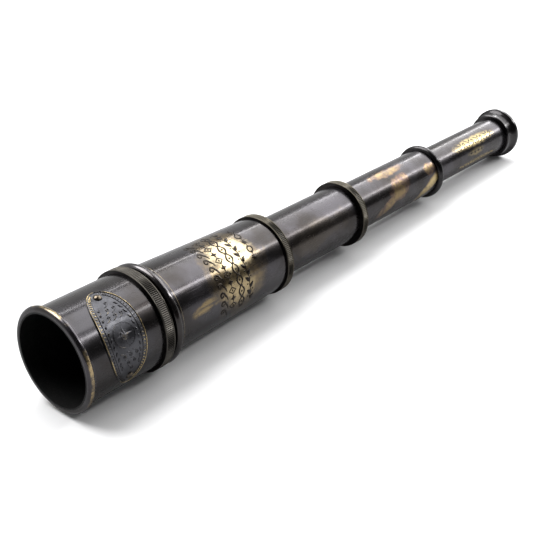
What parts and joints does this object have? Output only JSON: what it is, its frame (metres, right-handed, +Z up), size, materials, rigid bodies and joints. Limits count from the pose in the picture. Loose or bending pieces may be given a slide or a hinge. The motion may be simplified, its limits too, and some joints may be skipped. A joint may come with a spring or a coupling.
{
  "type": "three-draw hand telescope",
  "caption": "Hand telescope of dark aged brass: wide hood with an oval badge, tapered barrel, sliding draw tubes with knurled collars, and a bell-shaped eyecup.",
  "frame": {"origin": "on the optical axis, at the front face of the objective rim", "axes": "+X along the optical axis from the objective rim to the eyecup, +Z up, and the badge faces -Y, turned a little upwards"},
  "size_m": [0.45, 0.06, 0.06],
  "materials": {
    "dark_shell": "dark oxidised brass, polished, rubbed bright in places",
    "dark_draw": "dark oxidised brass, polished, with fine drawing marks",
    "mottled_draw": "dark oxidised brass with cloudy golden patches",
    "dark_polish": "dark oxidised brass, highly polished",
    "rubbed_brass": "aged brass, worn bright on its edges",
    "badge": "grey aged brass with a raised border",
    "knurl": "khaki aged brass, knurled, ribs rubbed bright",
    "inner_brass": "plain machined brass",
    "blackened": "matt blackened brass",
    "eye_black": "black bronzed brass, glossy",
    "glass": "clear polished optical glass"
  },
  "bodies": {
    "barrel": {"front_rim": "rubbed_brass", "hood_tube": "dark_shell", "badge_plate": "badge", "badge_rivets": "rubbed_brass", "hood_ring": "knurl", "front_bush": "inner_brass", "joint_bead": "dark_polish", "barrel_flange": "dark_polish", "main_barrel": "dark_shell", "objective_cell": "blackened", "crown_lens": "glass", "doublet_spacer": "blackened", "flint_lens": "glass", "objective_ring": "blackened", "collar_1": "knurl", "guide_sleeve_1": "inner_brass"},
    "draw_1": {"draw_tube_1": "dark_draw", "stop_ring_1": "inner_brass", "collar_2": "knurl", "guide_sleeve_2": "inner_brass"},
    "draw_2": {"draw_tube_2": "mottled_draw", "stop_ring_2": "inner_brass", "collar_3": "eye_black", "guide_sleeve_3": "inner_brass"},
    "draw_3": {"draw_tube_3": "dark_draw", "stop_ring_3": "inner_brass", "erector_tube": "blackened", "erector_front_lens": "glass", "erector_front_ring": "blackened", "erector_stop": "blackened", "erector_rear_lens": "glass", "erector_rear_ring": "blackened", "eyepiece_tube": "blackened", "field_lens": "glass", "field_lens_ring": "blackened", "eye_lens": "glass", "eye_lens_ring": "blackened", "eyecup_base": "eye_black", "eyecup": "eye_black"}
  },
  "joints": [
    {"name": "draw_1_slide", "type": "slide", "parent": "barrel", "child": "draw_1", "axis": [-1, 0, 0], "range_m": [0, 0.074]},
    {"name": "draw_2_slide", "type": "slide", "parent": "draw_1", "child": "draw_2", "axis": [-1, 0, 0], "range_m": [0, 0.092]},
    {"name": "draw_3_slide", "type": "slide", "parent": "draw_2", "child": "draw_3", "axis": [-1, 0, 0], "range_m": [0, 0.097]}
  ]
}
